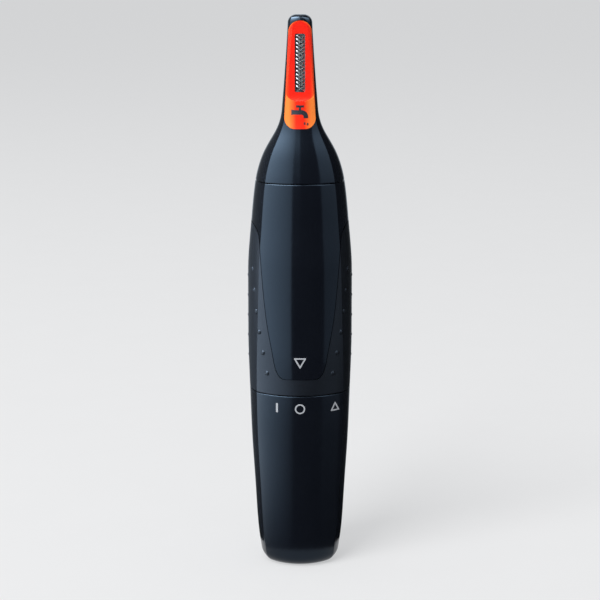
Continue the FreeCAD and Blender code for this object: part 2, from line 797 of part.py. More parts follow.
terminals = fuse(
    "motor_terminals",
    [
        block(f"terminal_{side}", (4.3 * sign - 0.2, 4.3 * sign + 0.2), (-1.0, 1.0), (60.9, 64.4))
        for side, sign in (("left", -1), ("right", 1))
    ],
)
MAGNET_INNER, MAGNET_OUTER, MAGNET_LOW, MAGNET_HIGH, MAGNET_SPAN = 5.4, 6.88, 67.0, 81.0, 80.0
magnets = fuse(
    "motor_magnets",
    [
        arc_wall(f"magnet_{side}", MAGNET_INNER, MAGNET_OUTER, MAGNET_LOW, MAGNET_HIGH, start, MAGNET_SPAN)
        for side, start in (("left", 140.0), ("right", -40.0))
    ],
)
BRUSH_IN, BRUSH_OUT, BRUSH_ARM_OUT = 2.05, 2.25, 4.1


def side_block(name, inner, outer, y, z, side):
    """A block between two distances from the middle, on the left (-1) or on the right (1)."""
    ends = sorted((side * inner, side * outer))
    return block(name, tuple(ends), y, z)


brush_width = (-1.0, 1.0)
brush_parts = []
for n, side in ((1, -1), (2, 1)):
    brush_parts.append(side_block(f"brush_{n}", BRUSH_IN, BRUSH_OUT, brush_width, (64.6, 66.8), side))
    brush_parts.append(side_block(f"brush_arm_{n}", BRUSH_IN, BRUSH_ARM_OUT, brush_width, (64.4, 64.6), side))
brushes = fuse("motor_brushes", brush_parts)
seal_outline = [(shaft_bore, 85.25), (3.0, 85.25), (3.0, 85.6), (1.6, 86.05), (shaft_bore, 86.05)]
shaft_seal = turned("shaft_seal", seal_outline)

shaft_radius = dim("shaft_radius")
motor_shaft = turned("motor_shaft", [(0, 62.8), (shaft_radius, 62.8), (shaft_radius, 89.9), (0, 89.9)])
commutator = turned("commutator", [(shaft_radius, 64.7), (2.0, 64.7), (2.0, 67.4), (shaft_radius, 67.4)])
CORE_LOW, CORE_HIGH = 69.0, 79.0
POLE_ANGLES = (90.0, 210.0, 330.0)
POLE_HALF = 0.8


def around(angle):
    return FreeCAD.Placement(Vec(0, 0, 0), FreeCAD.Rotation(Vec(0, 0, 1), angle))


def pole_bar(name, half, inner, outer, low, high, angle):
    """A radial bar at an angle round the shaft."""
    bar = feature(name, Part.makeBox(outer - inner, 2 * half, high - low, Vec(inner, -half, low)))
    bar.Placement = around(angle)
    return bar


armature_core = cut(
    "armature_core",
    fuse(
        "core_blank",
        [rod("core_hub", 2.2, CORE_LOW, CORE_HIGH)]
        + [
            pole_bar(f"pole_{n + 1}", POLE_HALF, 1.5, 4.8, CORE_LOW, CORE_HIGH, angle)
            for n, angle in enumerate(POLE_ANGLES)
        ]
        + [
            arc_wall(f"pole_shoe_{n + 1}", 4.4, 5.1, CORE_LOW, CORE_HIGH, angle - 48, 96)
            for n, angle in enumerate(POLE_ANGLES)
        ],
    ),
    [rod("core_bore", shaft_radius, 60.0, 90.0)],
)
windings = fuse(
    "armature_windings",
    [
        cut(
            f"winding_{n + 1}",
            pole_bar(f"coil_{n + 1}", POLE_HALF + 0.9, 2.5, 4.3, CORE_LOW - 0.9, CORE_HIGH + 0.9, angle),
            [
                pole_bar(f"coil_core_{n + 1}", POLE_HALF, 1.5, 4.8, CORE_LOW, CORE_HIGH, angle),
                ring(f"coil_limit_{n + 1}", 4.35, 8.0, 60.0, 90.0),
            ],
        )
        for n, angle in enumerate(POLE_ANGLES)
    ],
)
cam_middle = cell("cam_middle")
cam_slant = FreeCAD.Rotation(Vec(1, 0, 0), cell("cam_slope"))
cam_trim = feature("cam_trim", Part.makeBox(2 * WIDE, 2 * WIDE, WIDE, Vec(-WIDE, -WIDE, 0)))
cam_trim.Placement = FreeCAD.Placement(Vec(0, 0, cam_middle), cam_slant)
drive_cam = cut(
    "drive_cam",
    ring("cam_blank", shaft_radius, dim("cam_radius"), dim("cam_low"), cam_middle + 3),
    [cam_trim],
)

# ---------------------------------------------------------------- chassis and contacts

chassis_radius = dim("chassis_radius")
BATTERY_SEAL_HEIGHT = 44.1
TWIST_ON, TWIST_OPEN = 28.0, 45.0
LUG_HALF, LUG_PLAY = 8.0, 1.0
LUG_ANGLES = (30.0, 150.0, 270.0)
RAIL_HALF, RAIL_LOW = 1.2, 47.62
track_low, track_high = dim("lug_low") - 0.2, dim("lug_low") + dim("lug_height") + 0.2
track_start, track_end = -TWIST_OPEN - LUG_HALF - LUG_PLAY, TWIST_ON + LUG_HALF + LUG_PLAY
gate_end = LUG_HALF + LUG_PLAY
tracks = []
lane = (dim("track_floor"), chassis_radius + 1)
for n, angle in enumerate(LUG_ANGLES):
    first = angle + track_start
    tracks.append(arc_wall(f"track_{n + 1}", *lane, track_low, track_high, first, track_end - track_start))
    tracks.append(arc_wall(f"gate_{n + 1}", *lane, 30.0, track_high, first, gate_end - track_start))
SCREW_SHANK, SCREW_HEAD, SCREW_DEPTH = 0.8, 1.4, 7.8
SCREWS = ((1, -SCREW_DEPTH), (2, SCREW_DEPTH))


def screw_bores(owner):
    return [rod(f"{owner}_screw_bore_{n}", SCREW_SHANK, 77.0, 90.0, 0.0, depth) for n, depth in SCREWS]


chassis_bar = fuse(
    "chassis_bar",
    [
        rod("chassis_core", chassis_radius, dim("spigot_low"), motor_high),
        rod("land_low", dim("bore_radius"), 49.0, 52.0),
        rod("land_high", dim("bore_radius"), 76.0, 82.0),
    ],
)
chassis = cut(
    "chassis",
    chassis_bar,
    [
        rod("battery_bore", dim("spigot_bore"), 30.0, dim("partition_low")),
        two_flats("motor_seat", motor_radius + 0.04, motor_flat + 0.04, END_CAP_LOW, 90.0),
        rod("wiring_room", 5.6, dim("partition_top"), END_CAP_LOW + 1),
        ring("battery_seal_groove", 8.8, 12.0, BATTERY_SEAL_HEIGHT - 0.5, BATTERY_SEAL_HEIGHT + 0.5),
        block("rail_groove", (9.0, 12.0), (-RAIL_HALF - 0.1, RAIL_HALF + 0.1), (47.5, 61.4)),
        block("rail_window", (4.0, 12.0), (-RAIL_HALF - 0.1, RAIL_HALF + 0.1), (60.4, 61.4)),
        block("contact_window", (-5.2, -4.6), (-1.3, 1.3), (57.0, 61.0)),
        *screw_bores("chassis"),
        *tracks,
    ],
)
spigot_seal_ring = doughnut("spigot_seal_ring", 9.25, 0.45, BATTERY_SEAL_HEIGHT)
retainer = cut(
    "motor_retainer",
    rod("retainer_disc", 9.2, motor_high, boss_top),
    [
        rod("retainer_hole", dim("boss_radius") + 0.02, 80.0, 90.0),
        *screw_bores("retainer"),
    ],
)
screws = []
for n, depth in SCREWS:
    shank = rod(f"screw_{n}_shank", SCREW_SHANK, 77.5, boss_top, 0.0, depth)
    head = rod(f"screw_{n}_head", SCREW_HEAD, boss_top, 86.3, 0.0, depth)
    slots = [
        block(f"screw_{n}_slot_a", (-0.9, 0.9), (depth - 0.18, depth + 0.18), (85.8, 87.0)),
        block(f"screw_{n}_slot_b", (-0.18, 0.18), (depth - 0.9, depth + 0.9), (85.8, 87.0)),
    ]
    screws.append(cut(f"screw_{n}", fuse(f"screw_{n}_blank", [shank, head]), slots))
motor_screws = fuse("motor_screws", screws)

positive_contact = fuse(
    "positive_contact",
    [
        rod("contact_disc", 4.2, dim("cell_top"), dim("partition_low")),
        block("contact_reach", (-5.1, -3.0), (-1.1, 1.1), (dim("cell_top"), dim("partition_low"))),
        block("contact_tab", (-5.1, -4.8), (-1.1, 1.1), (dim("cell_top"), 60.9)),
        block("contact_bend", (-5.1, -4.1), (-1.1, 1.1), (60.6, 60.9)),
    ],
)
negative_rail = fuse(
    "negative_rail",
    [
        block("rail_bar", (9.15, 9.45), (-RAIL_HALF, RAIL_HALF), (RAIL_LOW, 60.9)),
        block("rail_foot", (9.15, 10.2), (-RAIL_HALF, RAIL_HALF), (RAIL_LOW, RAIL_LOW + 0.2)),
        block("rail_arm", (4.1, 9.45), (-RAIL_HALF, RAIL_HALF), (60.6, 60.9)),
    ],
)

# ---------------------------------------------------------------- switch ring

KEY_HALF = 4.0
KEY_ANGLES = (0.0, 180.0)
STRIP_HALF = 1.5
STRIP_TOP = 47.38
switch_ring = cut(
    "switch_ring",
    ring("ring_blank", dim("ring_inner"), dim("ring_outer"), dim("ring_low"), dim("ring_high")),
    [
        arc_wall(f"key_notch_{n + 1}", 9.0, 12.0, 45.0, dim("key_top") + 0.05, angle - 4.6, 9.2)
        for n, angle in enumerate(KEY_ANGLES)
    ]
    + [block("strip_notch", (-STRIP_HALF - 0.1, STRIP_HALF + 0.1), (8.0, 12.0), (45.0, 48.0))],
)
WIPER_START, WIPER_END = 80.0, 342.0
wiper_lane = (9.78, 10.25, dim("ring_high"), dim("ring_high") + 0.15)
switch_wiper = arc_wall("switch_wiper", *wiper_lane, WIPER_START, WIPER_END - WIPER_START)

# ---------------------------------------------------------------- battery cap

cap_high = dim("low_seam") - dim("cap_clearance")
cap_slice = common("cap_slice", outer_form, slab("cap_slab", -5.0, cap_high))
cap_blank = rounded_rims("cap_blank", cap_slice, [cap_high])
cap_cavity = feature("cap_cavity", form(cell("cap_wall"), cell("cap_floor"), cell("cap_bore_low")))
RIB_INNER, RIB_HALF, RIB_COUNT = 7.55, 0.45, 6
rib_blocks = []
for n in range(RIB_COUNT):
    rib = feature(f"rib_{n + 1}", Part.makeBox(20.0, 2 * RIB_HALF, 30.0, Vec(RIB_INNER, -RIB_HALF, 1.0)))
    rib.Placement = around(60.0 * n)
    rib_blocks.append(rib)
cap_ribs = common("cap_ribs", cap_blank, fuse("rib_star", rib_blocks))
cap_shell = cut(
    "cap_shell",
    cap_blank,
    [cap_cavity, rod("cap_spigot_bore", dim("cap_bore"), dim("cap_bore_low") - 0.1, 52.0)],
)
lugs = [
    arc_wall(
        f"lug_{n + 1}",
        dim("lug_inner"),
        dim("cap_bore") + 0.3,
        dim("lug_low"),
        dim("lug_low") + dim("lug_height"),
        angle - LUG_HALF,
        2 * LUG_HALF,
    )
    for n, angle in enumerate(LUG_ANGLES)
]
key_lane = (dim("key_inner"), dim("key_outer"), 44.5, dim("key_top"))
keys = [
    arc_wall(f"key_{n + 1}", *key_lane, angle - KEY_HALF, 2 * KEY_HALF)
    for n, angle in enumerate(KEY_ANGLES)
]
battery_cap = cut(
    "battery_cap",
    fuse("cap_with_lugs", [cap_shell, cap_ribs, *lugs, *keys]),
    [block("strip_channel", (-STRIP_HALF - 0.1, STRIP_HALF + 0.1), (8.0, 10.2), (34.7, 52.0))],
)

# One strip of spring steel: a disc under the cell's spring, and an arm that climbs the rear wall.
arm_inner = [(7.1, 2.1), (7.1, 2.5), (9.25, 35.3), (9.82, 36.7), (9.82, STRIP_TOP)]
arm_outer = [(10.12, STRIP_TOP), (10.12, 36.6), (9.55, 35.2), (7.38, 2.4), (7.3, 1.8), (4.0, 1.8)]
arm_edges = side_lines(arm_inner + arm_outer + [(4.0, 2.1), arm_inner[0]])
negative_strip = fuse(
    "negative_strip", [rod("strip_disc", 4.8, 1.8, 2.1), side_prism("strip_arm", arm_edges, STRIP_HALF)]
)
negative_spring = spring("negative_spring", 3.0, 0.3, 1.15, 2.12, cell("cell_low") - 0.02)

# ---------------------------------------------------------------- AA cell

cell_radius, cell_low, cell_high = dim("cell_radius"), dim("cell_low"), dim("cell_high")
JACKET = 0.15
battery_can = turned(
    "battery_can",
    [
        (0, cell_low),
        (6.2, cell_low),
        (cell_radius - JACKET, cell_low + 0.5),
        (cell_radius - JACKET, cell_high - 0.5),
        (6.4, cell_high),
        (0, cell_high),
    ],
)
battery_jacket = turned(
    "battery_jacket",
    [
        (cell_radius - JACKET, cell_low + 0.6),
        (cell_radius, cell_low + 0.6),
        (cell_radius, cell_high - 0.6),
        (cell_radius - JACKET, cell_high - 0.6),
    ],
)
cell_nub, cell_top = dim("cell_nub"), dim("cell_top")
nub_outline = [(0, cell_high), (cell_nub, cell_high), (cell_nub, cell_top - 0.3), (cell_nub - 0.4, cell_top)]
battery_nub = turned("battery_positive_cap", nub_outline + [(0, cell_top)])
washer_hole, washer_edge, washer_top = cell_nub + 0.1, 5.9, cell_high + 0.2
washer_low_corners = [(washer_hole, cell_high), (washer_edge, cell_high)]
washer_high_corners = [(washer_edge, washer_top), (washer_hole, washer_top)]
battery_insulator = turned("battery_insulator", washer_low_corners + washer_high_corners)

# ---------------------------------------------------------------- check and write

SUB_PARTS = [
    handle_shell, grip_sleeve, head_shell, head_seal_ring, cutter_guard, fixed_comb,
    moving_blade, drive_rod, rod_guide, spring_plate, return_spring,
    motor_can, front_bushing, end_cap, rear_bushing, terminals, magnets, brushes, shaft_seal,
    motor_shaft, commutator, armature_core, windings, drive_cam,
    chassis, spigot_seal_ring, retainer, motor_screws, positive_contact, negative_rail,
    switch_ring, switch_wiper, battery_cap, negative_strip, negative_spring,
    battery_can, battery_jacket, battery_nub, battery_insulator,
]

doc.recompute()
for item in doc.Objects:
    if "Invalid" in item.State or "Error" in item.State:
        raise RuntimeError(f"{item.Label} failed: {item.State}")

os.makedirs("parts", exist_ok=True)
for item in SUB_PARTS:
    shape = item.Shape
    if shape.isNull() or not shape.isValid() or not shape.Solids:
        raise RuntimeError(f"{item.Label} has no valid solid")
    shape.exportStep(f"parts/{item.Label}.step")
    print(f"{item.Label}: {len(shape.Solids)} solid(s), {shape.Volume:.1f} mm3")
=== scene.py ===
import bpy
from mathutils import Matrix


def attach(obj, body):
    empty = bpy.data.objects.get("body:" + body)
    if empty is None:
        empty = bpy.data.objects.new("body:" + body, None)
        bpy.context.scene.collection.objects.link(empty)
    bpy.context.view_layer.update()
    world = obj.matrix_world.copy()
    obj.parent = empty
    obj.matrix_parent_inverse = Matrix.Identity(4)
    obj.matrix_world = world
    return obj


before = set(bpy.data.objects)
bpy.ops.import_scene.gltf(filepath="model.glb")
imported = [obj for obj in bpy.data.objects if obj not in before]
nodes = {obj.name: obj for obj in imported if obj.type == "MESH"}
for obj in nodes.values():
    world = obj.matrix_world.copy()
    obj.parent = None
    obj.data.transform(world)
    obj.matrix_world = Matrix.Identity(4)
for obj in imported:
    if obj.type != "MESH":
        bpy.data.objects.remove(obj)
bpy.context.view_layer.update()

import math

import bpy

bpy.ops.object.select_all(action="DESELECT")

# ---------------------------------------------------------------- rotor of the motor
# A ground steel shaft with a core of stacked plates pressed on it, three copper windings round the
# core's arms and a copper commutator below. It is turned, stacked, wound and then varnished.


class Socket:
    """A node's output; arithmetic on it adds Math nodes."""

    def __init__(self, finish, out):
        self.finish, self.out = finish, out

    def __add__(self, other):
        return self.finish.maths("ADD", self, other)

    def __sub__(self, other):
        return self.finish.maths("SUBTRACT", self, other)

    def __rsub__(self, other):
        return self.finish.maths("SUBTRACT", other, self)

    def __mul__(self, other):
        return self.finish.maths("MULTIPLY", self, other)

    def __truediv__(self, other):
        return self.finish.maths("DIVIDE", self, other)

    __radd__, __rmul__ = __add__, __mul__

    def over(self, edge, soft):
        """0 below an edge and 1 above it, over a soft width."""
        return self.finish.node("Clamp", {}, {0: (self - edge) / soft + 0.5})

    def size(self):
        return self.finish.maths("ABSOLUTE", self)


class Finish:
    """A material of nodes round one surface shader. Fixed values go on the shader's own sockets."""

    def __init__(self, name, **fixed):
        self.material = bpy.data.materials.new(name)
        self.material.use_nodes = True
        self.tree = self.material.node_tree
        self.shader = self.tree.nodes["Principled BSDF"]
        for title, value in fixed.items():
            self.shader.inputs[title.replace("_", " ")].default_value = value
        self.here = self.node("TexCoord", out=3)

    def node(self, kind, settings=None, inputs=None, out=0):
        made = self.tree.nodes.new("ShaderNode" + kind)
        for title, value in (settings or {}).items():
            setattr(made, title, value)
        for key, value in (inputs or {}).items():
            if isinstance(value, Socket):
                self.tree.links.new(value.out, made.inputs[key])
            else:
                made.inputs[key].default_value = value
        return Socket(self, made.outputs[out])

    def maths(self, operation, *values):
        return self.node("Math", {"operation": operation}, dict(enumerate(values)))

    def axis(self, index):
        return self.node("SeparateXYZ", {}, {0: self.here}, out=index)

    def noise(self, grain, detail=2.0, stretch=(1, 1, 1)):
        """Noise with grains of a size in metres, drawn out along the axes."""
        scale = [1 / (grain * longer) for longer in stretch]
        spread = self.node("Mapping", {}, {"Vector": self.here, "Scale": scale})
        return self.node("TexNoise", {}, {"Vector": spread, "Scale": 1.0, "Detail": detail})

    def blend(self, mask, first, second):
        return self.node("Mix", {"data_type": "RGBA"}, {0: mask, 6: first, 7: second}, out=2)

    def feed(self, title, source):
        self.tree.links.new(source.out, self.shader.inputs[title])

    def relief(self, height, depth, strength=1.0):
        """A bump whose height runs over a depth in metres."""
        bump = self.node("Bump", {}, {"Height": height, "Distance": depth, "Strength": strength})
        self.feed("Normal", bump)


def rgb(red, green, blue):
    return (red, green, blue, 1.0)


def dress(finish, *names):
    """The CAD nodes take this finish."""
    for name in names:
        for place in nodes[name].material_slots:
            place.material = finish.material


def worn_metal(name, light, dark, rough, grain, stretch):
    """Bare or plated metal with the fine lines of its making and a little dulling."""
    metal = Finish(name, Metallic=1.0)
    lines = metal.noise(grain, 3.0, stretch)
    stains = metal.noise(0.004, 3.0)
    metal.feed("Base Color", metal.blend(lines * 0.6 + stains * 0.4, light, dark))
    metal.feed("Roughness", lines * 0.18 + stains * 0.1 + (rough - 0.14))
    metal.relief(lines, 0.00001, 0.35)
    return metal


LATHE_MARKS = (9, 9, 0.5)
ground_steel = worn_metal(
    "ground_steel", rgb(0.62, 0.62, 0.64), rgb(0.45, 0.45, 0.47), 0.26, 0.0002, LATHE_MARKS
)
dress(ground_steel, "motor_shaft", "motor_screws")

PLATE = 0.0005
core_plates = Finish("core_plates", Metallic=1.0, Roughness=0.45)
plate_edges = core_plates.maths("FRACT", core_plates.axis(2) / PLATE).over(0.22, 0.15)
plate_colour = core_plates.blend(plate_edges, rgb(0.07, 0.06, 0.06), rgb(0.3, 0.3, 0.31))
core_plates.feed("Base Color", plate_colour)
core_plates.relief(plate_edges, 0.00005)
dress(core_plates, "armature_core")

WIRE = 0.00022
varnished_copper = Finish("varnished_copper", Metallic=1.0, Coat_Weight=0.6, Coat_Roughness=0.15)
# Each turn is painted lighter along its crest and darker in the grooves between turns: painted
# highlight and painted shade.
turns = varnished_copper.maths("SINE", varnished_copper.axis(2) * (2 * math.pi / WIRE)) * 0.5 + 0.5
wire_colour = varnished_copper.blend(turns, rgb(0.25, 0.06, 0.02), rgb(0.75, 0.28, 0.1))
varnished_copper.feed("Base Color", wire_colour)
varnished_copper.feed("Roughness", 0.4 - turns * 0.12)
varnished_copper.relief(turns, 0.00006)
dress(varnished_copper, "armature_windings")

BRUSH_MARKS = (12, 12, 0.4)
turned_copper = worn_metal(
    "turned_copper", rgb(0.8, 0.36, 0.18), rgb(0.55, 0.22, 0.1), 0.3, 0.00015, BRUSH_MARKS
)
dress(turned_copper, "commutator")

# ---------------------------------------------------------------- standing parts of the motor
# A pressed, plated steel can with two ferrite magnets glued inside, oil-filled bronze bushings at
# both ends, and a white moulded end cap that carries the brushes and their solder tabs.

DRAWN_MARKS = (1, 1, 3)
plated_can = worn_metal(
    "plated_can", rgb(0.66, 0.65, 0.62), rgb(0.5, 0.49, 0.47), 0.34, 0.0009, DRAWN_MARKS
)
dress(plated_can, "motor_can")

EVEN_MARKS = (1, 1, 1)
bronze = worn_metal(
    "oiled_bronze", rgb(0.58, 0.38, 0.16), rgb(0.34, 0.2, 0.08), 0.42, 0.0001, EVEN_MARKS
)
dress(bronze, "motor_front_bushing", "motor_rear_bushing")

ferrite = Finish("ferrite")
crumbs = ferrite.noise(0.00035, 4.0)
ferrite.feed("Base Color", ferrite.blend(crumbs, rgb(0.03, 0.03, 0.033), rgb(0.09, 0.088, 0.09)))
ferrite.feed("Roughness", crumbs * 0.3 + 0.45)
ferrite.relief(crumbs, 0.00004)
dress(ferrite, "motor_magnets")

ROLLED_MARKS = (6, 1, 1)
plated_contact = worn_metal(
    "plated_contact", rgb(0.74, 0.72, 0.66), rgb(0.56, 0.54, 0.49), 0.27, 0.0003, ROLLED_MARKS
)
dress(plated_contact, "motor_brushes", "motor_terminals", "positive_contact")
dress(plated_contact, "negative_rail", "negative_strip", "switch_wiper")


def moulding(name, light, dark, rough):
    """Moulded plastic: slow shifts of colour and gloss, over a fine skin from the mould."""
    plastic = Finish(name)
    clouds = plastic.noise(0.006, 2.0)
    pores = plastic.noise(0.0005, 3.0)
    plastic.feed("Base Color", plastic.blend(clouds * 0.7 + pores * 0.3, light, dark))
    plastic.feed("Roughness", clouds * 0.05 + pores * 0.05 + (rough - 0.05))
    plastic.relief(pores, 0.00004, 0.3)
    return plastic


white_nylon = moulding("white_nylon", rgb(0.78, 0.77, 0.72), rgb(0.68, 0.67, 0.62), 0.42)
dress(white_nylon, "motor_end_cap")

# ---------------------------------------------------------------- chassis and what it holds
# One dark moulding is the cell's tube, the motor's seat and the bayonet spigot. A pale ring and two
# screws hold the motor down, a lip of rubber seals its shaft, and rubber rings seal the joints.

chassis_black = moulding(
    "chassis_black", rgb(0.03, 0.031, 0.034), rgb(0.018, 0.019, 0.021), 0.45
)
dress(chassis_black, "chassis")

acetal = moulding("pale_acetal", rgb(0.72, 0.71, 0.67), rgb(0.6, 0.59, 0.55), 0.36)
dress(acetal, "motor_retainer", "drive_cam", "rod_guide")
dress(acetal, "spring_plate", "drive_rod", "switch_ring")

rubber = Finish("seal_rubber", Specular_IOR_Level=0.35)
bloom = rubber.noise(0.0012, 4.0)
rubber.feed("Base Color", rubber.blend(bloom, rgb(0.014, 0.014, 0.015), rgb(0.035, 0.035, 0.036)))
rubber.feed("Roughness", bloom * 0.25 + 0.4)
rubber.relief(bloom, 0.00003)
dress(rubber, "shaft_seal", "head_seal_ring", "spigot_seal_ring")

# ---------------------------------------------------------------- AA cell
# A nickel-plated can with a pressed nub on top and a paper washer round it, in a printed film jacket
# that is dark below and copper-coloured in a band at the top, with a plus and a minus sign only.

nickel = worn_metal(
    "nickel_can", rgb(0.76, 0.75, 0.72), rgb(0.6, 0.59, 0.57), 0.2, 0.002, EVEN_MARKS
)
dress(nickel, "battery_can", "battery_positive_cap")

washer_card = moulding("washer_card", rgb(0.8, 0.79, 0.74), rgb(0.66, 0.65, 0.6), 0.7)
dress(washer_card, "battery_insulator")

BAND_LOW, BAND_SOFT = 0.0425, 0.00006
jacket = Finish("cell_film", Coat_Weight=0.6, Coat_Roughness=0.08)
band = jacket.axis(2).over(BAND_LOW, BAND_SOFT)
flecks = jacket.noise(0.0004, 2.0)
jacket.feed("Base Color", jacket.blend(band, rgb(0.012, 0.02, 0.03), rgb(0.62, 0.27, 0.1)))
jacket.feed("Metallic", band * 0.9)
jacket.feed("Roughness", flecks * 0.08 + 0.24)
dress(jacket, "battery_jacket")

AHEAD = -0.03
FACING = (math.pi / 2, 0, 0)


def edit(step):
    """One step in edit mode, on all of the piece in hand."""
    bpy.ops.object.mode_set(mode="EDIT")
    bpy.ops.mesh.select_all(action="SELECT")
    step()
    bpy.ops.object.mode_set(mode="OBJECT")


def pick(piece, test):
    """Selects the vertices whose place passes a test, and leaves the piece in edit mode."""
    bpy.ops.object.mode_set(mode="EDIT")
    bpy.ops.mesh.select_mode(type="VERT")
    bpy.ops.mesh.select_all(action="DESELECT")
    bpy.ops.object.mode_set(mode="OBJECT")
    for vertex in piece.data.vertices:
        vertex.select = test(vertex.co)
    bpy.ops.object.mode_set(mode="EDIT")


INK_THICK, INK_PROUD = 0.00005, 0.00002


def lay_on(name, target, finish, body):
    """The flat outline in hand is laid on the front of a CAD node, and given its thickness of ink."""
    piece = bpy.context.object
    piece.name = piece.data.name = name
    bpy.ops.object.transform_apply(location=True, rotation=True, scale=True)
    wrap = piece.modifiers.new("wrap", "SHRINKWRAP")
    wrap.target = nodes[target]
    wrap.wrap_method = "PROJECT"
    wrap.use_project_y = True
    wrap.use_project_x = wrap.use_project_z = False
    wrap.use_positive_direction = True
    wrap.use_negative_direction = False
    film = piece.modifiers.new("film", "SOLIDIFY")
    film.thickness = INK_THICK
    film.offset = 2 * INK_PROUD / INK_THICK - 1
    for modifier in list(piece.modifiers):
        bpy.ops.object.modifier_apply(modifier=modifier.name)
    piece.data.materials.append(finish.material)
    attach(piece, body)


def bar(x, z, wide, tall, ends=0.0):
    """A bar in front of the trimmer, with corners cut off round by a length, or left square."""
    bpy.ops.object.select_all(action="DESELECT")
    bpy.ops.mesh.primitive_plane_add(size=1.0, location=(x, AHEAD, z), rotation=FACING)
    piece = bpy.context.object
    piece.scale = (wide, tall, 1)
    bpy.ops.object.transform_apply(location=False, rotation=False, scale=True)
    if ends:
        edit(lambda: bpy.ops.mesh.bevel(offset=ends, segments=3, affect="VERTICES"))
    edit(lambda: bpy.ops.mesh.subdivide(number_cuts=5))
    return piece


def join(*pieces):
    """The pieces become the last of them."""
    bpy.ops.object.select_all(action="DESELECT")
    for piece in pieces:
        piece.select_set(True)
    bpy.context.view_layer.objects.active = pieces[-1]
    bpy.ops.object.join()


def printing(name, light, dark):
    """Printing ink, a little thin in places."""
    made = Finish(name, Specular_IOR_Level=0.3)
    thin_spots = made.noise(0.0003, 3.0)
    made.feed("Base Color", made.blend(thin_spots, light, dark))
    made.feed("Roughness", thin_spots * 0.15 + 0.38)
    return made


pale_ink = printing("pale_ink", rgb(0.43, 0.45, 0.48), rgb(0.35, 0.37, 0.4))
black_ink = printing("black_ink", rgb(0.008, 0.01, 0.014), rgb(0.02, 0.023, 0.03))
SIGN_LONG, SIGN_THICK = 0.003, 0.0006
MINUS_HEIGHT, PLUS_HEIGHT = 0.012, 0.05
bar(0.0, MINUS_HEIGHT, SIGN_LONG, SIGN_THICK)
lay_on("cell_minus", "battery_jacket", pale_ink, "handle")
join(bar(0.0, PLUS_HEIGHT, SIGN_LONG, SIGN_THICK), bar(0.0, PLUS_HEIGHT, SIGN_THICK, SIGN_LONG))
lay_on("cell_plus", "battery_jacket", black_ink, "handle")

# ---------------------------------------------------------------- handle shell and grip
# The handle is one glossy moulding in a blue-black. The grip is a softer, duller rubber moulded over
# its sides and under the tongue, with a fine grain and rows of small domes for the fingers.


def gloss_black(name, rough):
    """The glossy blue-black of the handle, head and cap."""
    black = Finish(name, Specular_IOR_Level=0.32, Specular_Tint=rgb(0.58, 0.78, 1.0))
    clouds = black.noise(0.012, 2.0)
    haze = black.noise(0.0016, 4.0)
    specks = black.noise(0.00022, 2.0)
    colour = black.blend(clouds, rgb(0.0038, 0.0048, 0.0078), rgb(0.0055, 0.0068, 0.0105))
    black.feed("Base Color", colour)
    black.feed("Roughness", clouds * 0.03 + haze * 0.05 + (rough - 0.04))
    black.relief(specks, 0.000012, 0.12)
    return black


handle_black = gloss_black("handle_black", 0.13)
dress(handle_black, "handle_shell")

soft_grip = Finish("soft_grip", Specular_IOR_Level=0.34, Specular_Tint=rgb(0.68, 0.82, 1.0))
stipple = soft_grip.noise(0.00018, 3.0)
rubbed = soft_grip.noise(0.005, 3.0)
grip_colour = soft_grip.blend(rubbed, rgb(0.0055, 0.0068, 0.0095), rgb(0.0078, 0.0094, 0.013))
soft_grip.feed("Base Color", grip_colour)
soft_grip.feed("Roughness", stipple * 0.1 + rubbed * 0.08 + 0.27)
soft_grip.relief(stipple, 0.00003, 0.5)
dress(soft_grip, "grip_sleeve")

# ---------------------------------------------------------------- head shell, guard and blades
# The head is the same glossy black, with an orange guard let into the front of its neck. Behind the
# guard's slot lie two ground steel blades with slanted slots: the front one stands still.

head_black = gloss_black("head_black", 0.13)
dress(head_black, "head_shell")

# The moulding is deep red-orange. The paler orange is painted highlight, where the light falls: a
# little at its side rims, more round the arch at its top, and most at the sides of the bulge below
# the flat.
RIM_EDGE, RIM_SOFT, RIM_PALE = 0.0030, 0.0012, 0.35
ARCH_FOOT, ARCH_RIM, ARCH_SOFT, ARCH_PALE = 0.13383, 0.00262, 0.0003, 0.5
ARCH_TALL, ARCH_FADE = 0.0025, 0.0012
BULGE_FRONT, BULGE_CURVE, BULGE_EDGE, BULGE_SOFT = -0.00528, 64.3, 0.00003, 0.00005
SIDE_EDGE, SIDE_SOFT, SIDE_PALE, MIDDLE_PALE = 0.0018, 0.0016, 0.82, 0.04
orange = Finish("guard_orange", Specular_IOR_Level=0.4, Specular_Tint=rgb(1.0, 0.4, 0.2))
swirl = orange.noise(0.004, 2.0)
skin = orange.noise(0.0004, 3.0)
sideways = orange.axis(0).size()
rim_highlight = sideways.over(RIM_EDGE, RIM_SOFT) * RIM_PALE
up_the_arch = orange.axis(2) - ARCH_FOOT
above = up_the_arch.over(ARCH_TALL / 2, ARCH_TALL) * ARCH_TALL
arch = orange.maths("SQRT", sideways * sideways + above * above)
arch_fade = (up_the_arch + ARCH_FADE).over(ARCH_FADE / 2, ARCH_FADE)
arch_highlight = arch.over(ARCH_RIM, ARCH_SOFT) * arch_fade * ARCH_PALE
swelling = sideways * sideways * BULGE_CURVE + BULGE_FRONT - orange.axis(1)
swelling_sides = sideways.over(SIDE_EDGE, SIDE_SOFT) * SIDE_PALE + MIDDLE_PALE
bulge_highlight = swelling.over(BULGE_EDGE, BULGE_SOFT) * swelling_sides
# Painted highlight on the rims, arch and bulge, with a faint random swirl in the tone.
painted_highlight_and_swirl = orange.node("Clamp", {}, {0: rim_highlight + arch_highlight + bulge_highlight + swirl * 0.06})
orange.feed("Base Color", orange.blend(painted_highlight_and_swirl, rgb(0.9, 0.011, 0.009), rgb(0.98, 0.25, 0.045)))
orange.feed("Roughness", skin * 0.06 + 0.2)
orange.relief(skin, 0.00002, 0.2)
dress(orange, "cutter_guard")

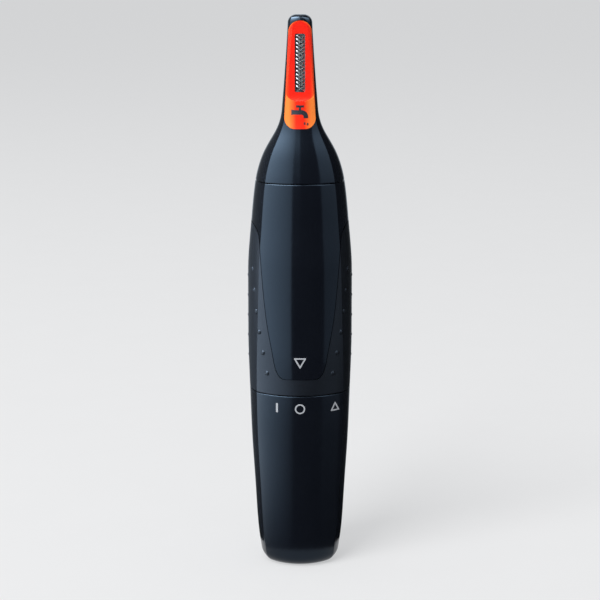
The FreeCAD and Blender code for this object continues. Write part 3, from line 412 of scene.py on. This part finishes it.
GRIND_GRAIN, GRIND_MARKS = 0.00012, (1, 1, 14)
blade_steel = worn_metal(
    "blade_steel", rgb(0.66, 0.65, 0.65), rgb(0.48, 0.47, 0.47), 0.27, GRIND_GRAIN, GRIND_MARKS
)
# The fixed comb's plate is this steel made darker, and the moving blade behind it darker still:
# painted shade from the guard's slot.
comb_steel_painted_shade = worn_metal(
    "comb_steel_painted_shade", rgb(0.5, 0.5, 0.51), rgb(0.36, 0.36, 0.37), 0.28, GRIND_GRAIN, GRIND_MARKS
)
dress(comb_steel_painted_shade, "fixed_comb")
painted_shade_steel = worn_metal(
    "painted_shade_steel", rgb(0.16, 0.16, 0.17), rgb(0.08, 0.08, 0.09), 0.36, GRIND_GRAIN, GRIND_MARKS
)
dress(painted_shade_steel, "moving_blade")

# The comb's teeth are rounded on top: long low crowns that fall away at both ends.
FIRST_TOOTH, TOOTH_PITCH, TOOTH_SLANT, TEETH = 0.120535, 0.00093, math.radians(32), 14
COMB_FRONT, TOOTH_LONG, TOOTH_WIDE, CROWN = -0.00412, 0.00225, 0.00032, 0.00017
SHOULDER, CROWN_DROP, CROWN_EDGE = TOOTH_LONG * 0.32, CROWN * 0.8, 0.00005
bpy.ops.object.select_all(action="DESELECT")
bpy.ops.mesh.primitive_cube_add(size=1.0)
tooth = bpy.context.object
tooth.scale = (TOOTH_LONG, CROWN, TOOTH_WIDE)
bpy.ops.object.transform_apply(location=False, rotation=False, scale=True)
for shoulder in (-SHOULDER, SHOULDER):
    edit(lambda: bpy.ops.mesh.bisect(plane_co=(shoulder, 0, 0), plane_no=(1, 0, 0)))
pick(tooth, lambda place: abs(place.x) > TOOTH_LONG * 0.45 and place.y < 0)
bpy.ops.transform.translate(value=(0, CROWN_DROP, 0))
bpy.ops.object.mode_set(mode="OBJECT")
edit(lambda: bpy.ops.mesh.bevel(offset=CROWN_EDGE, segments=2, affect="EDGES"))
bpy.ops.object.shade_smooth_by_angle(angle=math.radians(30))
teeth = []
for number in range(TEETH):
    one = tooth.copy()
    one.data = tooth.data.copy()
    bpy.context.scene.collection.objects.link(one)
    one.location = (0, COMB_FRONT - CROWN / 2, FIRST_TOOTH + TOOTH_PITCH * number)
    one.rotation_euler = (0, TOOTH_SLANT, 0)
    teeth.append(one)
bpy.data.objects.remove(tooth)
join(*teeth)
comb_crowns = bpy.context.object
comb_crowns.name = comb_crowns.data.name = "comb_crowns"
bpy.ops.object.transform_apply(location=True, rotation=True, scale=True)
comb_crowns.data.materials.append(blade_steel.material)
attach(comb_crowns, "handle")

spring_wire = worn_metal(
    "spring_wire", rgb(0.68, 0.67, 0.65), rgb(0.5, 0.49, 0.47), 0.3, 0.0003, EVEN_MARKS
)
dress(spring_wire, "return_spring", "negative_spring")

# ---------------------------------------------------------------- battery cap
# A deep moulding in the same black as the handle, with a slightly softer gloss. It is pushed on to
# the chassis's spigot and twisted, so that bayonet lugs lock it there at the on mark.

cap_black = gloss_black("cap_black", 0.19)
dress(cap_black, "battery_cap")

# ---------------------------------------------------------------- printed marks
# Pale ink, a few hundredths of a millimetre thick: a pointer on the handle, and on the cap a bar for
# on, a ring for off and a triangle for open. A black tap on the guard says the head may be rinsed.

RING_SIDES, LINE = 48, 0.00034


def outline(sides, radius, x, z, turn=0.0, squeeze=1.0):
    """A ring of the marks' line round a regular outline, drawn in front of the trimmer."""
    bpy.ops.object.select_all(action="DESELECT")
    bpy.ops.mesh.primitive_circle_add(
        vertices=sides, radius=radius, fill_type="NGON", location=(x, AHEAD, z)
    )
    drawn = bpy.context.object
    drawn.rotation_euler = (math.pi / 2, turn, 0)
    if sides < RING_SIDES:
        edit(lambda: bpy.ops.mesh.bevel(offset=LINE * 0.6, segments=3, affect="VERTICES"))
        edit(lambda: bpy.ops.mesh.subdivide(number_cuts=5))
    bpy.ops.object.mode_set(mode="EDIT")
    bpy.ops.mesh.select_all(action="SELECT")
    bpy.ops.mesh.inset(thickness=LINE, use_even_offset=True)
    bpy.ops.mesh.delete(type="FACE")
    bpy.ops.object.mode_set(mode="OBJECT")
    drawn.scale = (squeeze, 1, 1)


OFF_HEIGHT, OFF_RADIUS = 0.0425, 0.00127
OPEN_ACROSS, OPEN_HEIGHT, OPEN_RADIUS, OPEN_SQUEEZE = 0.0087, 0.0422, 0.00158, 0.84
ON_ACROSS, ON_HEIGHT, ON_WIDE, ON_TALL, ON_ROUND = -0.0057, 0.0426, 0.00048, 0.0024, 0.00012
POINTER_HEIGHT, POINTER_RADIUS = 0.0546, 0.00182
outline(RING_SIDES, OFF_RADIUS, 0.0, OFF_HEIGHT)
lay_on("mark_off", "battery_cap", pale_ink, "cap")
outline(3, OPEN_RADIUS, OPEN_ACROSS, OPEN_HEIGHT, squeeze=OPEN_SQUEEZE)
lay_on("mark_open", "battery_cap", pale_ink, "cap")
bar(ON_ACROSS, ON_HEIGHT, ON_WIDE, ON_TALL, ON_ROUND)
lay_on("mark_on", "battery_cap", pale_ink, "cap")
outline(3, POINTER_RADIUS, 0.0, POINTER_HEIGHT, turn=math.pi)
lay_on("mark_pointer", "handle_shell", pale_ink, "handle")

# The tap: a spout bent down at its right end, its flange, the stem and handle above, and two drops.
TAP_MIDDLE, TAP_HEIGHT = -0.00083, 0.11485
TAP_LONG, TAP_THICK, TAP_BEND, TAP_MOUTH = 0.0023, 0.00108, 0.00055, 0.0003
FLANGE_ACROSS, FLANGE_WIDE, FLANGE_TALL = -0.00195, 0.0003, TAP_THICK * 1.2
STEM_RISE, STEM_WIDE, STEM_TALL = 0.00085, 0.00055, 0.0009
HANDLE_RISE, HANDLE_WIDE, HANDLE_TALL = 0.00142, 0.0019, 0.0005
DROP_WIDE, DROP_TALL, DROP_ROUND = 0.0004, 0.0006, 0.00015
DROPS = ((0.00112, 0.1122), (0.00185, 0.11205))
spout = bar(TAP_MIDDLE, TAP_HEIGHT, TAP_LONG, TAP_THICK)
pick(spout, lambda place: place.x > TAP_LONG / 2 - 0.000001)
bpy.ops.mesh.spin(
    steps=8,
    angle=-math.pi / 2,
    center=(TAP_MIDDLE + TAP_LONG / 2, AHEAD, TAP_HEIGHT - TAP_THICK / 2 - TAP_BEND),
    axis=(0, 1, 0),
)
bpy.ops.mesh.extrude_edges_move(TRANSFORM_OT_translate={"value": (0, 0, -TAP_MOUTH)})
bpy.ops.object.mode_set(mode="OBJECT")
tap = [
    spout,
    bar(FLANGE_ACROSS, TAP_HEIGHT, FLANGE_WIDE, FLANGE_TALL),
    bar(0.0, TAP_HEIGHT + STEM_RISE, STEM_WIDE, STEM_TALL),
    bar(0.0, TAP_HEIGHT + HANDLE_RISE, HANDLE_WIDE, HANDLE_TALL),
]
for x, z in DROPS:
    tap.append(bar(x, z, DROP_WIDE, DROP_TALL, DROP_ROUND))
join(*tap)
lay_on("mark_tap", "cutter_guard", black_ink, "handle")

# ---------------------------------------------------------------- floor, light and camera
# A plain pale floor under an even sky, with one large lamp above on the left. Cards that only gloss
# sees stand all round the trimmer: white on its left, black in front, faint on its right.


def seen_from(finish):
    """1 for what the camera sees, straight or in gloss or glass, and 0 for light that falls on."""
    camera_ray, glossy_ray, transmission_ray = 0, 3, 6
    seen = finish.node("LightPath", out=camera_ray)
    seen = seen + finish.node("LightPath", out=glossy_ray)
    seen = seen + finish.node("LightPath", out=transmission_ray)
    return finish.node("Clamp", {}, {0: seen})


FLOOR_SIZE, WHITE_SHARE = 60.0, 0.55
bpy.ops.object.select_all(action="DESELECT")
bpy.ops.mesh.primitive_plane_add(size=FLOOR_SIZE)
floor = bpy.context.object
floor.name = "floor"
pale = Finish("floor_paper", Specular_IOR_Level=0.0)
fibre = pale.noise(0.02, 3.0)
pale.feed("Base Color", pale.blend(fibre, rgb(0.78, 0.78, 0.78), rgb(0.81, 0.81, 0.81)))
pale.feed("Roughness", fibre * 0.1 + 0.7)
white = pale.node("Emission", {}, {"Color": rgb(0.86, 0.87, 0.88), "Strength": 1.0})
lit = Socket(pale, pale.shader.outputs[0])
paper = pale.node("MixShader", {}, {0: seen_from(pale) * WHITE_SHARE, 1: lit, 2: white})
pale.tree.links.new(paper.out, pale.tree.nodes["Material Output"].inputs["Surface"])
floor.data.materials.append(pale.material)


class Sky(Finish):
    """The world's nodes, built in the way of a finish."""

    def __init__(self, name):
        self.world = bpy.data.worlds.new(name)
        self.world.use_nodes = True
        self.tree = self.world.node_tree
        self.shader = self.tree.nodes["Background"]


sky = Sky("studio")
sky.feed("Color", sky.blend(seen_from(sky), rgb(0.5, 0.5, 0.51), rgb(0.65, 0.65, 0.66)))
bpy.context.scene.world = sky.world

key = bpy.data.lights.new("key_lamp", "AREA")
key.size = 0.9
key.energy = 20.0
key_lamp = bpy.data.objects.new("key_lamp", key)
bpy.context.scene.collection.objects.link(key_lamp)
key_lamp.location = (-0.75, -0.85, 1.1)
key_lamp.rotation_euler = (math.radians(46), 0, math.radians(-41))
key_lamp.visible_camera = False

CARD_RANGE, CARD_TOP, CARD_FOOT = 0.45, 0.75, 0.0004
ROOF_RANGE, ROOF_RISE, FLOOR_RANGE = 0.02, 0.2, 0.016
CARD_TINT = (0.8, 0.9, 1.0)


def card(name, first, last, near, low, high):
    """A card that stands round the trimmer between two bearings in degrees: 0 is in front, positive
    right. It also covers the floor and the ceiling. Its glow has a pair of values, for its first and
    last bearing, close to the trimmer, at its foot and at its top."""
    bpy.ops.object.select_all(action="DESELECT")
    bpy.ops.mesh.primitive_plane_add(size=1.0)
    made = bpy.context.object
    made.name = name
    bpy.ops.object.mode_set(mode="EDIT")
    bpy.ops.mesh.delete(type="ONLY_FACE")
    bpy.ops.object.mode_set(mode="OBJECT")
    turn = math.radians(first)
    roof_end, floor_end = (ROOF_RANGE, CARD_TOP + ROOF_RISE), (FLOOR_RANGE, CARD_FOOT)
    wall_top, wall_foot = (CARD_RANGE, CARD_TOP), (CARD_RANGE, CARD_FOOT)
    corners = (roof_end, floor_end, wall_top, wall_foot)
    for vertex, (reach, height) in zip(made.data.vertices, corners):
        vertex.co = (reach * math.sin(turn), -reach * math.cos(turn), height)
    pick(made, lambda place: place.xy.length < CARD_RANGE / 2)
    bpy.ops.mesh.delete(type="EDGE")
    bpy.ops.mesh.select_all(action="SELECT")
    bpy.ops.mesh.spin(
        steps=12, angle=math.radians(first - last), center=(0, 0, 0), axis=(0, 0, 1)
    )
    bpy.ops.object.mode_set(mode="OBJECT")
    paint = Finish(name)
    across, away = paint.axis(0), paint.axis(1)
    bearing = paint.maths("ARCTAN2", across, 0 - away)
    along = (bearing - turn) / math.radians(last - first)
    reach = paint.maths("SQRT", across * across + away * away)
    near, low, high = [along * (right - left) + left for left, right in (near, low, high)]
    climb = paint.axis(2) / CARD_TOP
    glow = near + (low - near) * reach.over(0.16, 0.1) + (high - low) * (climb * climb)
    glow = glow * reach.over(0.04, 0.08)
    tinted = paint.node("VectorMath", {"operation": "SCALE"}, {0: CARD_TINT, "Scale": glow})
    light = paint.node("Emission", {}, {"Color": tinted})
    paint.tree.links.new(light.out, paint.tree.nodes["Material Output"].inputs["Surface"])
    made.data.materials.append(paint.material)
    made.visible_camera = made.visible_shadow = False
    made.visible_diffuse = made.visible_transmission = False


card("white_card", -100, -15, (3.4, 0.25), (5.4, 1.5), (34.0, 4.5))
card("shaded_card", -15, 0, (0.012, 0.012), (0.015, 0.015), (4.5, 5.0))
card("black_card", 0, 42, (0.012, 0.012), (0.015, 0.015), (0.9, 0.4))
card("faint_card", 42, 80, (0.1, 0.12), (0.46, 0.58), (6.5, 7.5))
card("black_card_right", 80, 150, (0.02, 0.02), (0.03, 0.03), (0.12, 0.12))
card("grey_card_left", -150, -100, (0.1, 0.12), (0.2, 0.25), (0.5, 0.7))
card("back_card_right", 150, 180, (0.02, 0.6), (0.03, 1.0), (0.12, 1.0))
card("back_card_left", -180, -150, (0.6, 0.1), (1.0, 0.2), (1.0, 0.5))

ELEVATION, HALF_VIEW = math.radians(12.0), math.radians(11.2)
RANGE, AIM, SENSOR = 0.38, 0.0675, 36.0
camera_data = bpy.data.cameras.new("camera")
camera_data.sensor_width = SENSOR
camera_data.lens = SENSOR / (2 * math.tan(HALF_VIEW))
camera_data.clip_start = 0.01
camera = bpy.data.objects.new("camera", camera_data)
bpy.context.scene.collection.objects.link(camera)
camera.location = (0, -RANGE * math.cos(ELEVATION), AIM + RANGE * math.sin(ELEVATION))
camera.rotation_euler = (math.pi / 2 - ELEVATION, 0, 0)
bpy.context.scene.camera = camera

bpy.context.scene.view_settings.view_transform = "Standard"
